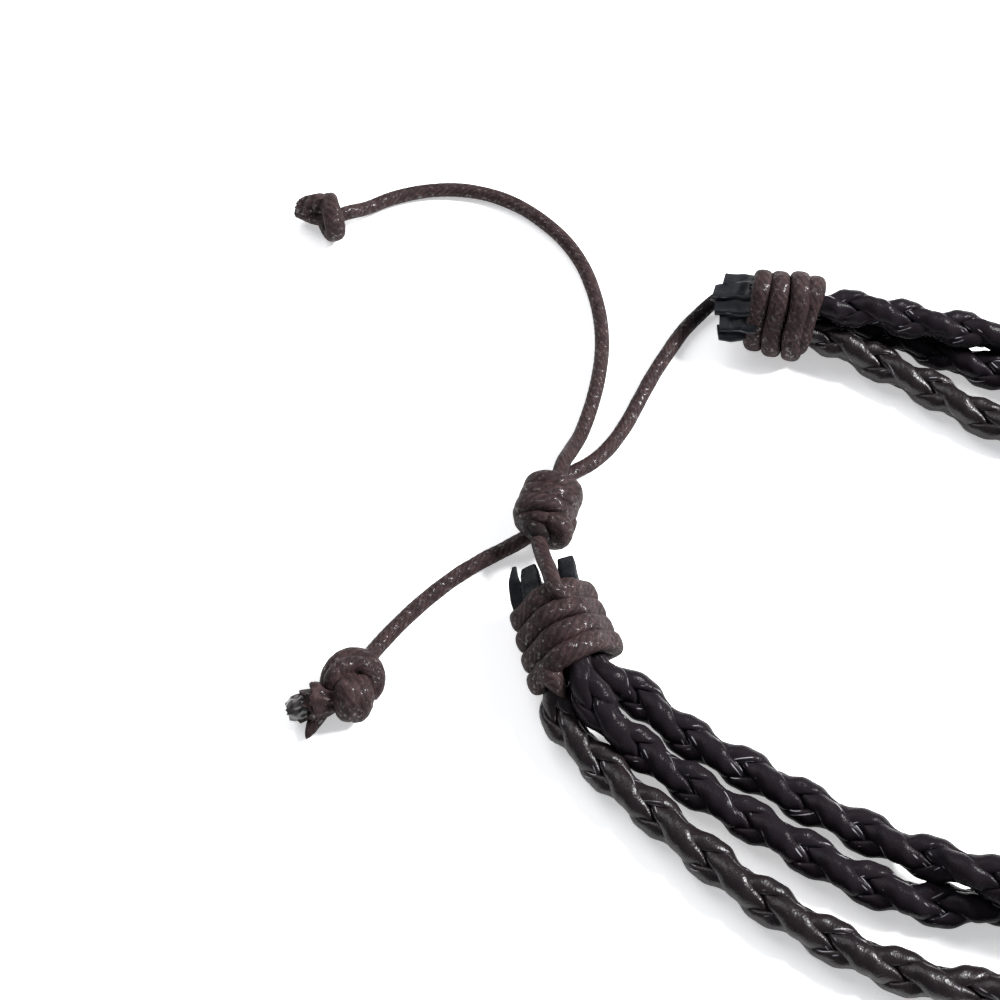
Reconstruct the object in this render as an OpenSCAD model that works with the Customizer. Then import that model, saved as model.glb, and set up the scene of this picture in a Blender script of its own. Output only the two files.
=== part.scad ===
/* [Leather cords] */
// Length of the outer cord in which one strip goes once round it
outer_pitch = 11.64; // [11.2:0.02:12.2]
// The same on the middle cord
middle_pitch = 11.1; // [11:0.02:12.2]
// The same on the inner cord
inner_pitch = 11.16; // [11:0.02:12.2]
// Width of one leather strip where it lies on top of the braid
strip_w = 2.55; // [2.2:0.05:2.6]
// Thickness of one leather strip at its middle
strip_t = 0.88; // [0.6:0.02:0.9]
// Size of a leather cord at the mouth of a whipping, as a part of its free size
mouth_squeeze = 0.8; // [0.76:0.01:0.82]
// The same at the cut ends behind the near whipping
near_end_squeeze = 0.66; // [0.62:0.01:0.8]
// The same at the cut ends behind the far whipping
far_end_squeeze = 0.76; // [0.62:0.01:0.8]

/* [Waxed cord] */
// Diameter of the waxed cotton cord
cord_d = 1.5; // [1.3:0.05:1.5]

/* [Whippings] */
// Turns of the near whipping
near_turns = 3.5; // [2.5:0.5:3.5]
// Turns of the far whipping
far_turns = 3; // [2:0.5:3]
// Width along the near whipping that one turn takes, where the cord lies flattened
near_turn_w = 1.9; // [1.8:0.05:1.95]
// The same on the far whipping
far_turn_w = 1.8; // [1.75:0.05:1.9]

/* [Knots] */
// Turns of the sliding knot round the two waxed cords
slide_turns = 3; // [2:0.5:3.5]
// Turns of the end knot of the near cord
end_turns = 1; // [0.5:0.5:1.5]
// Turns of the end knot of the far cord
far_end_turns = 2; // [1:0.5:2.5]
// Radius of the far cord's end knot, at the middle of its turns
far_knot_r = 2; // [1.65:0.05:2.2]

/* [Hidden] */

leather = "#2c2529";
cotton = "#56423f";
gap = 0.06;
up = [0, 0, 1];

// Braid: a strip swings between on top and underneath eight times in two turns of the cord
rings_per_turn = 8;
ring_turn = 360 / rings_per_turn;
strip_mid_r = 0.876;
strip_swing = 0.485;
strip_narrow = 0.589;
strip_lag = 14.3;
strip_tilt = 33;
strip_crown = 0.58;
braid_r = 1.88;

// Whippings: centre on the ground, heading of the leather's way out, length. Turns lie side by side,
// so they take up one turn's width more than they go along
near_at = [-32.6, -15];
near_heading = -53;
near_l = (near_turns + 1) * near_turn_w;
far_at = [-23.4, 26.2];
far_heading = 10;
far_l = (far_turns + 1) * far_turn_w;
wrap_fit = 0.12;
open_out = 7;

// Where the middle of each leather cord runs, from the near whipping's mouth to the far one's
outer_run = [
    [-30.8, -21.7, 2.5], [-27.9, -23.8, 2], [-24, -25.8, 1.95], [-19, -27.9, 1.95],
    [-13, -30.3, 1.95], [-7, -32, 1.95], [0, -33.1, 1.95], [7.5, -32.7, 1.95],
    [15, -29.9, 1.95], [21.5, -25, 1.95], [26.5, -18.5, 1.95], [29.5, -11, 1.95],
    [30.5, -3, 1.95], [29.5, 5, 1.95], [26.4, 12, 1.95], [21.2, 17.4, 1.95],
    [15, 20.6, 1.95], [8, 21.7, 1.95], [0, 21.6, 1.95], [-8, 23.7, 1.95], [-14, 25, 2.2]];
middle_run = [
    [-27.6, -20.9, 4.3], [-23.5, -22.4, 2.5], [-17, -24.2, 1.95], [-10, -25.7, 1.95],
    [-3, -27, 1.95], [4, -26.8, 1.95], [11, -23.6, 1.95], [16.5, -18.8, 1.95],
    [20.5, -13, 1.95], [23.5, -6.5, 1.95], [25, 0.5, 1.95], [25.2, 7.5, 3.8],
    [23.8, 14.5, 5.6], [20.3, 20.3, 4.5], [15.4, 24.6, 2.1], [9, 26.9, 1.95],
    [2, 27.5, 1.95], [-5, 27.7, 1.95], [-11, 28.4, 1.95], [-15.5, 28.7, 2.1]];
inner_run = [
    [-26, -17.6, 3], [-20, -19.7, 1.95], [-13.5, -21.1, 1.95], [-6.5, -22.4, 1.95],
    [0, -23.5, 2.7], [6, -24.1, 4.7], [12, -24.4, 5.8], [18, -23.4, 5.2],
    [23.5, -20.8, 5.6], [28.5, -16, 5.9], [32, -9.5, 5.2], [33.8, -2, 2.7],
    [33.6, 6, 1.95], [31.2, 13.8, 1.95], [26.5, 20.6, 1.95], [20, 26, 1.95],
    [12.5, 29.9, 1.95], [4.5, 31.6, 1.95], [-4, 30.4, 4.7], [-10, 29.3, 5.7], [-15, 28.5, 5.9]];

// Columns: run, place in the near and the far whipping, braid pitch, first crossing, roll at the
// near and the far end, length of the four cut ends behind the near and the far whipping
CORDS = [
    [outer_run, "right", "right", outer_pitch, 0.95, 117, 62, [0.4, 2.6, 3.4, 0.8], [3.2, 2.4, 3, 3.4]],
    [middle_run, "top", "left", middle_pitch, 1.85, 117, 62, [0.3, 0.4, 0.3, 0.4], [1, 1.4, 0.8, 1.2]],
    [inner_run, "left", "top", inner_pitch, 3.15, 117, 62, [0.6, 3, 1, 3.6], [3.2, 3.6, 2.8, 3.4]]];
RUN = 0;
NEAR_PLACE = 1;
FAR_PLACE = 2;
PITCH = 3;
FIRST = 4;
NEAR_ROLL = 5;
FAR_ROLL = 6;
NEAR_ENDS = 7;
FAR_ENDS = 8;
stub_room = 4;
stub_flare = 0.85;
near_face_l = 50;
far_face_l = 30;

// Knots: where the turns lie round the waxed cords, and their heading
slide_at = [-38.4, -2.5];
slide_heading = 90;
slide_low_z = cord_d * 1.5 + 2 * wrap_fit;
slide_high_z = slide_low_z + cord_d + gap;
near_knot_at = [-71.6, 23.4];
near_knot_heading = 220;
near_knot_z = 2.35;
far_knot_at = [-49.5, -25.9];
far_knot_heading = 245;
far_knot_z = 2.35;

// Where the waxed cords run
near_cord_run = [
    [-34.9, -11.9, 7.2], [-35.6, -10.9, 6.6], [-36.8, -9, 5.2], [-37.8, -7.2, 4.4],
    [-38.4, -5.4, slide_high_z], [-38.4, -2.5, slide_high_z], [-38.4, 0.3, slide_high_z],
    [-38.5, 1.9, 3.8], [-38.5, 4.4, 2.2], [-38.4, 7.3, 0.9], [-38.5, 10.9, 0.8],
    [-38.9, 14.4, 0.8], [-39.7, 18, 0.8], [-41, 21.4, 0.8], [-42.8, 24.6, 0.8],
    [-45, 27.5, 0.8], [-47.7, 29.9, 0.8], [-50.7, 31.6, 0.8], [-54, 32.8, 0.8],
    [-57.5, 33.2, 0.8], [-61, 32.7, 0.8], [-64.3, 31.3, 0.8], [-67.2, 29.2, 0.8],
    [-69.2, 26.6, 1.2], [-70.4, 24.7, 2.1], [-71.6, 23.4, 2.35], [-73.2, 22.9, 2],
    [-75.8, 23.6, 1.4]];
far_cord_run = [
    [-27.4, 29.4, 2.6], [-29, 28.9, 1.9], [-30.5, 27.4, 1.2], [-31.6, 25.3, 0.8],
    [-32.5, 22.9, 0.8], [-33.2, 19.8, 0.8], [-33.8, 16.5, 0.8], [-34.2, 13.2, 0.8],
    [-34.6, 9.8, 0.8], [-35.4, 6.4, 1], [-36.4, 4, 1.5], [-37.6, 2.1, 2],
    [-38.4, 0.1, slide_low_z], [-38.4, -2.5, slide_low_z], [-38.5, -4.9, slide_low_z],
    [-39.6, -6.2, 1.9], [-41, -7.4, 1.1], [-42.6, -9.1, 0.8], [-44.2, -11.3, 0.8],
    [-45.7, -13.9, 0.8], [-46.9, -16.4, 0.8], [-47.9, -18.9, 0.8], [-48.6, -21.2, 1],
    [-48.9, -23.4, 1.8], [-49.5, -25.8, 2.3], [-50.8, -27.9, 2], [-52.5, -29.5, 1.4]];

function unit(v) = v / norm(v);
function between(a, b, f) = a + (b - a) * f;
function ease(f) = let (c = min(1, max(0, f))) c * c * (3 - 2 * c);

// A curve through all its points, without loops where they lie unevenly
function knot_gap(a, b) = sqrt(norm(b - a));
function on_span(a, b, c, d, f) =
    let (t1 = knot_gap(a, b), t2 = t1 + knot_gap(b, c), t3 = t2 + knot_gap(c, d))
    let (t = between(t1, t2, f))
    let (a1 = between(a, b, t / t1))
    let (a2 = between(b, c, (t - t1) / (t2 - t1)))
    let (a3 = between(c, d, (t - t2) / (t3 - t2)))
    let (b1 = between(a1, a2, t / t2), b2 = between(a2, a3, (t - t1) / (t3 - t1)))
    between(b1, b2, (t - t1) / (t2 - t1));
function padded(p) = let (e = len(p) - 1) concat([2 * p[0] - p[1]], p, [2 * p[e] - p[e - 1]]);
function on_curve(q, u) =
    let (i = min(len(q) - 4, max(0, floor(u))))
    on_span(q[i], q[i + 1], q[i + 2], q[i + 3], u - i);

// Distance along a curve against its parameter, as rows for lookup
samples = 6;
function sampled(q) = [for (k = [0 : (len(q) - 3) * samples]) on_curve(q, k / samples)];
function sums(p, i = 1, s = 0, out = [[0, 0]]) =
    i == len(p) ? out :
    let (n = s + norm(p[i] - p[i - 1]))
    sums(p, i + 1, n, concat(out, [[n, i / samples]]));
function at_length(q, rows, s) = on_curve(q, lookup(s, rows));

// Middle, left and upward directions of a curve at a distance along it
function frame_at(q, rows, s) =
    let (half = 0.4, total = rows[len(rows) - 1][0])
    let (a = max(0, s - half), b = min(total, s + half))
    let (t = unit(at_length(q, rows, b) - at_length(q, rows, a)))
    let (left = unit(cross(up, t)))
    [at_length(q, rows, s), left, cross(t, left), t];

// Moves the whole bracelet so that the middle of its leather lies at the origin
lay = [1.75, 0.65, 0];

// A closed tube through rings of points; hand says which way its sides are split in two
module tube(rings, hand = 1) {
    n = len(rings[0]);
    last = (len(rings) - 1) * n;
    translate(lay)
        polyhedron(
            points = [for (r = rings) each r],
            faces = concat(
                [[for (j = [0 : n - 1]) j]],
                [for (i = [0 : n : last - n], j = [0 : n - 1])
                    let (k = (j + 1) % n)
                    each hand > 0 ?
                        [[i + j, i + n + j, i + k], [i + k, i + n + j, i + n + k]] :
                        [[i + j, i + n + j, i + n + k], [i + j, i + n + k, i + k]]],
                [[for (j = [n - 1 : -1 : 0]) last + j]]));
}

// Whippings: the three cords lie in a triangle, one on top of two
function whip_place(at, heading, along, left, z) = [
    at[0] + along * cos(heading) - left * sin(heading),
    at[1] + along * sin(heading) + left * cos(heading), z];
function low_z(squeeze) = cord_d + wrap_fit + braid_r * squeeze;
function bundle_half(squeeze) = braid_r * squeeze + gap / 2;
function bundle_spot(place, squeeze) =
    let (h = bundle_half(squeeze))
    place == "top" ? [0, low_z(squeeze) + h * sqrt(3)] :
    place == "left" ? [h, low_z(squeeze)] : [-h, low_z(squeeze)];
function whip_point(at, heading, along, place, squeeze) =
    let (p = bundle_spot(place, squeeze)) whip_place(at, heading, along, p[0], p[1]);

// The whole route of a leather cord, from one face of cut ends to the other
function cord_points(c) = concat(
    [whip_point(near_at, near_heading, -near_l / 2 - stub_room, c[NEAR_PLACE], stub_flare),
     whip_point(near_at, near_heading, -near_l / 2, c[NEAR_PLACE], near_end_squeeze),
     whip_point(near_at, near_heading, 0, c[NEAR_PLACE], (near_end_squeeze + mouth_squeeze) / 2),
     whip_point(near_at, near_heading, near_l / 2, c[NEAR_PLACE], mouth_squeeze)],
    c[RUN],
    [whip_point(far_at, far_heading, far_l / 2, c[FAR_PLACE], mouth_squeeze),
     whip_point(far_at, far_heading, 0, c[FAR_PLACE], (far_end_squeeze + mouth_squeeze) / 2),
     whip_point(far_at, far_heading, -far_l / 2, c[FAR_PLACE], far_end_squeeze),
     whip_point(far_at, far_heading, -far_l / 2 - stub_room, c[FAR_PLACE], stub_flare)]);

// Size of a cord along its route, as a part of its free size
function squeeze_at(s, total) =
    let (near = s - stub_room, far = total - stub_room - s)
    near < 0 ? between(near_end_squeeze, stub_flare, -near / stub_room) :
    far < 0 ? between(far_end_squeeze, stub_flare, -far / stub_room) :
    near < near_l ? between(near_end_squeeze, mouth_squeeze, near / near_l) :
    far < far_l ? between(far_end_squeeze, mouth_squeeze, far / far_l) :
    between(mouth_squeeze, 1, ease(min(near - near_l, far - far_l) / open_out));

// One strip: two of the four go one way round the cord, two the other way
function strip_ring(f, strip, turn, roll, k) =
    let (hand = strip < 2 ? 1 : -1)
    let (side = sin(2 * turn), over = hand * cos(2 * turn))
    let (a = hand * turn + 180 * (strip % 2) - strip_lag * side + roll)
    let (out = cos(a) * f[1] + sin(a) * f[2], round = cos(a) * f[2] - sin(a) * f[1])
    let (tilt = -strip_tilt * side)
    let (wide = cos(tilt) * round + sin(tilt) * out, thick = cos(tilt) * out - sin(tilt) * round)
    let (half = k * strip_w / 2 * (1 - strip_narrow * side * side))
    let (mid = f[0] + k * (strip_mid_r + strip_swing * over) * out)
    [mid + half * wide, mid - k * strip_t * (1 - strip_crown) * thick,
     mid - half * wide, mid + k * strip_t * strip_crown * thick];

module strip(cord, number) {
    c = CORDS[cord];
    q = padded(cord_points(c));
    rows = sums(sampled(q));
    total = rows[len(rows) - 1][0];
    ring_step = c[PITCH] / rings_per_turn;
    start = stub_room - c[NEAR_ENDS][number];
    end = total - stub_room + c[FAR_ENDS][number];
    first = ceil((start + 0.3 - c[FIRST]) / ring_step);
    last = floor((end - 0.3 - c[FIRST]) / ring_step);
    rings = concat(start, [for (i = [first : last]) c[FIRST] + i * ring_step], end);
    faces = [[near_face_l, c[NEAR_ROLL]], [total - far_face_l, c[FAR_ROLL]]];
    color(leather)
        tube([for (s = rings)
            strip_ring(frame_at(q, rows, s), number, (s - c[FIRST]) * ring_turn / ring_step,
                lookup(s, faces), squeeze_at(s, total))],
            number < 2 ? 1 : -1);
}

// Turns of waxed cord through points that lie round an axis
wrap_sides = 6;
steps_per_turn = 12;
module turns_through(p, heading, wide_d, thick_d) {
    axis = [cos(heading), sin(heading), 0];
    last = len(p) - 1;
    color(cotton)
        tube([for (k = [0 : last])
            let (t = unit(p[min(last, k + 1)] - p[max(0, k - 1)]))
            let (wide = unit(axis - (axis * t) * t), out = cross(t, wide))
            [for (j = [0 : wrap_sides - 1])
                let (a = j * 360 / wrap_sides)
                p[k] + wide_d / 2 * cos(a) * wide + thick_d / 2 * sin(a) * out]]);
}

// A whipping goes round the triangle of leather cords, four points at each corner
corner_angles = [-60, -20, 20, 60];
corner_places = ["right", "left", "top"];
corner_heads = [210, 330, 90];
function wrap_point(at, heading, length, turns, end_squeeze, k) =
    let (f = k / (turns * steps_per_turn), along = (f - 0.5) * length)
    let (squeeze = between(end_squeeze, mouth_squeeze, f))
    let (corner = floor(k / 4) % 3, a = corner_heads[corner] + corner_angles[k % 4])
    let (r = braid_r * squeeze + wrap_fit + cord_d / 2)
    let (p = bundle_spot(corner_places[corner], squeeze))
    whip_place(at, heading, along, p[0] + r * cos(a), p[1] + r * sin(a));
module whipping(at, heading, turns, turn_w, end_squeeze) {
    length = turns * turn_w;
    turns_through([for (k = [0 : turns * steps_per_turn])
        wrap_point(at, heading, length, turns, end_squeeze, k)], heading, turn_w - gap, cord_d);
}

// A knot's turns go round one cord, or round two where one lies on the other
module knot_turns(at, heading, low_z, high_z, turns, turn_w, wide_r, high_r) {
    count = turns * steps_per_turn;
    length = turns * turn_w;
    turns_through([for (k = [0 : count])
        let (a = k * 360 / steps_per_turn + 15)
        whip_place(at, heading, (k / count - 0.5) * length, wide_r * cos(a),
            (sin(a) > 0 ? high_z : low_z) + high_r * sin(a))], heading, turn_w - gap, cord_d);
}

// A round cord along a route
cord_sides = 8;
cord_ring_step = 2.1 * cord_d;
module cord(points, sides = cord_sides) {
    q = padded(points);
    rows = sums(sampled(q));
    total = rows[len(rows) - 1][0];
    count = round(total / cord_ring_step);
    color(cotton)
        tube([for (i = [0 : count])
            let (f = frame_at(q, rows, total * i / count))
            [for (j = [0 : sides - 1])
                let (a = j * 360 / sides)
                f[0] + cord_d / 2 * (cos(a) * f[1] + sin(a) * f[2])]]);
}

module outer_strip_1() strip(0, 0);
module outer_strip_2() strip(0, 1);
module outer_strip_3() strip(0, 2);
module outer_strip_4() strip(0, 3);
module middle_strip_1() strip(1, 0);
module middle_strip_2() strip(1, 1);
module middle_strip_3() strip(1, 2);
module middle_strip_4() strip(1, 3);
module inner_strip_1() strip(2, 0);
module inner_strip_2() strip(2, 1);
module inner_strip_3() strip(2, 2);
module inner_strip_4() strip(2, 3);
module near_whipping() whipping(near_at, near_heading, near_turns, near_turn_w, near_end_squeeze);
module far_whipping() whipping(far_at, far_heading, far_turns, far_turn_w, far_end_squeeze);
module near_cord() cord(near_cord_run);
module far_cord() cord(far_cord_run);
knot_r = cord_d + 2 * wrap_fit;
module sliding_knot()
    knot_turns(slide_at, slide_heading, slide_low_z, slide_high_z, slide_turns,
        cord_d + gap, knot_r, knot_r);
module near_end_knot()
    knot_turns(near_knot_at, near_knot_heading, near_knot_z, near_knot_z, end_turns,
        cord_d + gap, knot_r, knot_r);
module far_end_knot()
    knot_turns(far_knot_at, far_knot_heading, far_knot_z, far_knot_z, far_end_turns,
        cord_d + gap, far_knot_r, knot_r);

outer_strip_1();
outer_strip_2();
outer_strip_3();
outer_strip_4();
middle_strip_1();
middle_strip_2();
middle_strip_3();
middle_strip_4();
inner_strip_1();
inner_strip_2();
inner_strip_3();
inner_strip_4();
near_whipping();
far_whipping();
near_cord();
far_cord();
sliding_knot();
near_end_knot();
far_end_knot();
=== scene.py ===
import bpy
import math
import numpy as np
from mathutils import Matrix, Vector


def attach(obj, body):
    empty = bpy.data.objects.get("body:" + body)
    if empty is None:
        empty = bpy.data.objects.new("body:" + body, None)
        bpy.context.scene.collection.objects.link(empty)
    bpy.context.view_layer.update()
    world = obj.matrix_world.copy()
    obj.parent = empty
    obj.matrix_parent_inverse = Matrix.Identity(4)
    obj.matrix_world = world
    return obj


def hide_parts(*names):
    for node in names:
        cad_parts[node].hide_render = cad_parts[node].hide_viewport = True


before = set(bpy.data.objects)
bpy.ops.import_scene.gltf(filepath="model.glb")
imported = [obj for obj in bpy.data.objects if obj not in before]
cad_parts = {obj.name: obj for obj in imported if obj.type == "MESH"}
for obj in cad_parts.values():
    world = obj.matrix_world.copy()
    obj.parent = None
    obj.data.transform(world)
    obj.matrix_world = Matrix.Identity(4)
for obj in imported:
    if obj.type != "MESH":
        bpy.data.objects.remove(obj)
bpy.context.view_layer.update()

mm = 0.001
up = np.array([0.0, 0.0, 1.0])
# the bracelet's own points are moved by this, so that its leather lies in the middle of the frame
lay = np.array([1.75, 0.65, 0.0])

# how finely the meshes are made: steps along in mm, points round, steps in a turn, degrees between rows
fineness = dict(
    cordStep=0.13, cordPoints=44, frayStep=0.08, frayPoints=64, cutStep=0.12, cutPoints=28,
    turnSteps=36, rowDegrees=20,
)

# what several pieces share: lengths and places in mm, headings in degrees; turns and turnWidth give the
# length that a whipping binds, and flat how low it is pressed
waxed = dict(diameter=1.5, wrapFit=0.12, gap=0.06)
nearWhip = dict(at=(-32.6, -15.0), heading=-53.0, turns=3.5, turnWidth=1.9, flat=0.8)
farWhip = dict(at=(-23.4, 26.2), heading=10.0, turns=3, turnWidth=1.8, flat=1.0)
slide = dict(at=(-38.4, -2.5), heading=90.0)
slide["low"] = waxed["diameter"] * 1.5 + 2 * waxed["wrapFit"]
slide["high"] = slide["low"] + waxed["diameter"] + waxed["gap"]


# curves
def between(a, b, f):
    return a + (b - a) * f


def ease(f):
    c = np.clip(f, 0.0, 1.0)
    return c * c * (3 - 2 * c)


def smoothCurve(points, steps=24):
    # a curve through all its points, without loops where they lie unevenly
    p = np.array(points, float)
    q = np.vstack([2 * p[0] - p[1], p, 2 * p[-1] - p[-2]])
    f = np.arange(steps)[:, None] / steps
    out = []
    for a, b, c, d in zip(q[:-3], q[1:-2], q[2:-1], q[3:]):
        t1 = math.sqrt(np.linalg.norm(b - a))
        t2 = t1 + math.sqrt(np.linalg.norm(c - b))
        t3 = t2 + math.sqrt(np.linalg.norm(d - c))
        t = between(t1, t2, f)
        a1 = between(a, b, t / t1)
        a2 = between(b, c, (t - t1) / (t2 - t1))
        a3 = between(c, d, (t - t2) / (t3 - t2))
        b1 = between(a1, a2, t / t2)
        b2 = between(a2, a3, (t - t1) / (t3 - t1))
        out.append(between(b1, b2, (t - t1) / (t2 - t1)))
    return np.vstack(out + [q[-2:-1]])


def lengthsOf(curve):
    return np.concatenate([[0.0], np.cumsum(np.linalg.norm(np.diff(curve, axis=0), axis=1))])


def atLengths(curve, lengths, s):
    return np.stack([np.interp(s, lengths, curve[:, k]) for k in range(3)], 1)


def unit(v):
    return v / np.linalg.norm(v, axis=1, keepdims=True)


def localPoint(spot, along, left, z):
    # a place by a whipping or knot: along its heading, to the left of it, and above the floor
    a = math.radians(spot["heading"])
    return (spot["at"][0] + along * math.cos(a) - left * math.sin(a),
            spot["at"][1] + along * math.sin(a) + left * math.cos(a), z)


def framesAlong(curve, s, half=0.4):
    # middle, left and upward directions, for a curve that is never upright
    lengths = lengthsOf(curve)
    total = lengths[-1]
    a = atLengths(curve, lengths, np.maximum(0, s - half))
    b = atLengths(curve, lengths, np.minimum(total, s + half))
    forward = unit(b - a)
    left = unit(np.cross(np.broadcast_to(up, forward.shape), forward))
    return atLengths(curve, lengths, s), left, np.cross(forward, left)


def wobble(s, seed, wave, amount):
    # slow uneven change along a piece, the same every run; wave: its usual length in mm
    rng = np.random.default_rng(seed)
    out = np.zeros_like(s)
    for _ in range(4):
        out += np.sin(2 * math.pi * s / (wave * rng.uniform(0.6, 1.7)) + rng.uniform(0, 6.28))
    return out * amount / 2


# meshes
def tubeMesh(name, rings, lengths):
    # rings is [ring, point round, xyz] in mm, and lengths says how far along the piece each ring lies;
    # both ends are closed with a fan and a sharp rim
    count, around, _ = rings.shape
    points = np.vstack([rings.reshape(-1, 3), rings[0].mean(0), rings[-1].mean(0)])
    i = np.arange(count - 1)[:, None] * around
    j = np.arange(around)[None, :]
    k = (j + 1) % around
    quads = np.stack([i + j, i + k, i + around + k, i + around + j], -1).reshape(-1, 4)
    j, k = j[0], k[0]
    first, last = count * around, (count - 1) * around
    fans = np.vstack([np.stack([k, j, np.full(around, first)], 1),
                      np.stack([last + j, last + k, np.full(around, first + 1)], 1)])
    mesh = bpy.data.meshes.new(name)
    mesh.from_pydata((points + lay) * mm, [], quads.tolist() + fans.tolist())
    mesh.shade_smooth()
    # length along the piece in u, way round it in v
    uv = mesh.uv_layers.new(name="along")
    loopVerts = np.empty(len(mesh.loops), int)
    mesh.loops.foreach_get("vertex_index", loopVerts)
    ring = np.minimum(loopVerts // around, count - 1)
    place = loopVerts % around / around
    seam = np.tile([0.0, 1.0, 1.0, 0.0], len(quads)) > 0
    seam = np.concatenate([seam, np.zeros(len(mesh.loops) - 4 * len(quads), bool)])
    place = np.where(seam & (place == 0), 1.0, place)
    uv.data.foreach_set("uv", np.stack([lengths[ring], place], 1).astype(np.float32).ravel())
    sharp = mesh.attributes.new("sharp_edge", "BOOLEAN", "EDGE")
    ends = np.empty(len(mesh.edges) * 2, int)
    mesh.edges.foreach_get("vertices", ends)
    ends = ends.reshape(-1, 2)
    rim = ((ends < around).all(1)) | ((ends >= last) & (ends < first)).all(1)
    sharp.data.foreach_set("value", rim)
    mesh.validate()
    mesh.update()
    piece = bpy.data.objects.new(name, mesh)
    bpy.context.collection.objects.link(piece)
    return piece


def finishPiece(piece, material, slot, *nodes):
    piece.data.materials.append(material)
    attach(piece, "root")
    if nodes:
        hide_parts(*nodes)
    return piece


# materials
def linear(code):
    c = [int(code[i:i + 2], 16) / 255 for i in (1, 3, 5)]
    return [x / 12.92 if x <= 0.04045 else ((x + 0.055) / 1.055) ** 2.4 for x in c] + [1.0]


def newMaterial(name):
    # an empty material, and the one small function that adds a node with its settings and links
    material = bpy.data.materials.new(name)
    material.use_nodes = True
    tree = material.node_tree
    tree.nodes.clear()

    def add(kind, values=None, output=0):
        # a value is a setting, a number, a colour or the output of another node; gives one output back
        node = tree.nodes.new("ShaderNode" + kind)
        for key, value in (values or {}).items():
            if isinstance(value, bpy.types.NodeSocket):
                tree.links.new(value, node.inputs[key])
            elif isinstance(key, int) or key in node.inputs:
                node.inputs[key].default_value = value
            else:
                setattr(node, key, value)
        return node.outputs[output] if len(node.outputs) else None

    return material, add


# the two inner cords keep their finish, the outer one is rubbed and shines more, and cut ends are duller and
# painted darker and bluer, as shade from the whippings
# edge: the colour of the glints painted along the strips' edges, a painted highlight
leather = dict(skin="#151418", worn="#1f191c", edge="#8b898e", roughness=0.25, specular=0.05)
rubbedLeather = dict(skin="#121013", worn="#1f1819", edge="#77757a", roughness=0.3, specular=0.28)
shadedCutLeather = dict(skin="#0e1014", worn="#15161b", edge="#5a585e", roughness=0.42, specular=0.18)
leatherGrain = dict(
    size=0.2, creaseSize=0.5, patchSize=2.5, depth=0.03,   # mm
    glossier=0.07, duller=0.09,                            # how far the roughness strays
    glintPlace=0.05, glintWidth=0.01,                        # of a painted glint, as parts of the way round
    glintLength=1.3,                                        # mm
)


def glossyLeather(name, look):
    # chrome-tanned leather with a pressed, polished finish: near black, with a fine grain that breaks up
    # the shine, and pale glints painted here and there along a strip's edges, as painted highlight
    g = leatherGrain
    material, add = newMaterial(name)
    place = add("TexCoord", output="Object")
    patches = add("TexNoise", {"Vector": place, "Scale": 1 / (g["patchSize"] * mm), "Detail": 3.0})
    tone = add("Mix", {"data_type": "RGBA", 0: patches, 6: linear(look["skin"]), 7: linear(look["worn"])}, 2)
    grain = add("TexVoronoi", {"Scale": 1 / (g["size"] * mm), "Vector": place})
    creases = add("TexNoise", {"Vector": place, "Scale": 1 / (g["creaseSize"] * mm), "Detail": 4.0,
                               "Roughness": 0.6})
    height = add("Math", {"operation": "ADD", 0: grain, 1: creases})
    bump = add("Bump", {"Strength": 0.6, "Distance": g["depth"] * mm, "Height": height})
    gloss = add("MapRange", {"Value": creases, "From Min": 0.3, "From Max": 0.7,
                             "To Min": look["roughness"] - g["glossier"],
                             "To Max": look["roughness"] + g["duller"]})
    uv = add("UVMap", {"uv_map": "along"})
    wayRound = add("SeparateXYZ", {"Vector": uv}, "Y")
    # a strip's edges are half the way round apart
    fromEdge = add("Math", {"operation": "PINGPONG", 0: wayRound, 1: 0.25})
    onGlintBand = add("Math", {"operation": "COMPARE", 0: fromEdge, 1: g["glintPlace"], 2: g["glintWidth"]})
    glintNoise = add("TexNoise", {"Vector": place, "Scale": 1 / (g["glintLength"] * mm), "Detail": 1.0})
    glintPatches = add("MapRange", {"Value": glintNoise, "From Min": 0.58, "From Max": 0.67})
    edge = add("Math", {"operation": "MULTIPLY", 0: onGlintBand, 1: glintPatches})
    # painted highlight: short pale glints along the strips' edges, where light would catch them
    finish = add("Mix", {"data_type": "RGBA", 0: edge, 6: tone, 7: linear(look["edge"])}, 2)
    shader = add("BsdfPrincipled", {"IOR": 1.45, "Specular IOR Level": look["specular"], "Base Color": finish,
                                    "Normal": bump, "Roughness": gloss})
    add("OutputMaterial", {"Surface": shader})
    return material


# the darkest tone is used for painted shade between the yarns and for the darker fibres
cotton = dict(
    shadeAndFibreDark="#130d0e", dark="#241819", light="#4c3a3a", roughness=0.62, waxRoughness=0.2,
    yarns=9, twist=0.93, yarnDepth=0.035,                  # ridges round a cord, radians per mm, mm
    fibreWidth=0.14, fibreLength=0.42, fibreLean=0.9,      # mm, mm, and mm round per mm along
    patchSize=0.9, waxSize=0.38, bumpDepth=0.06,           # mm
)


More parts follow.
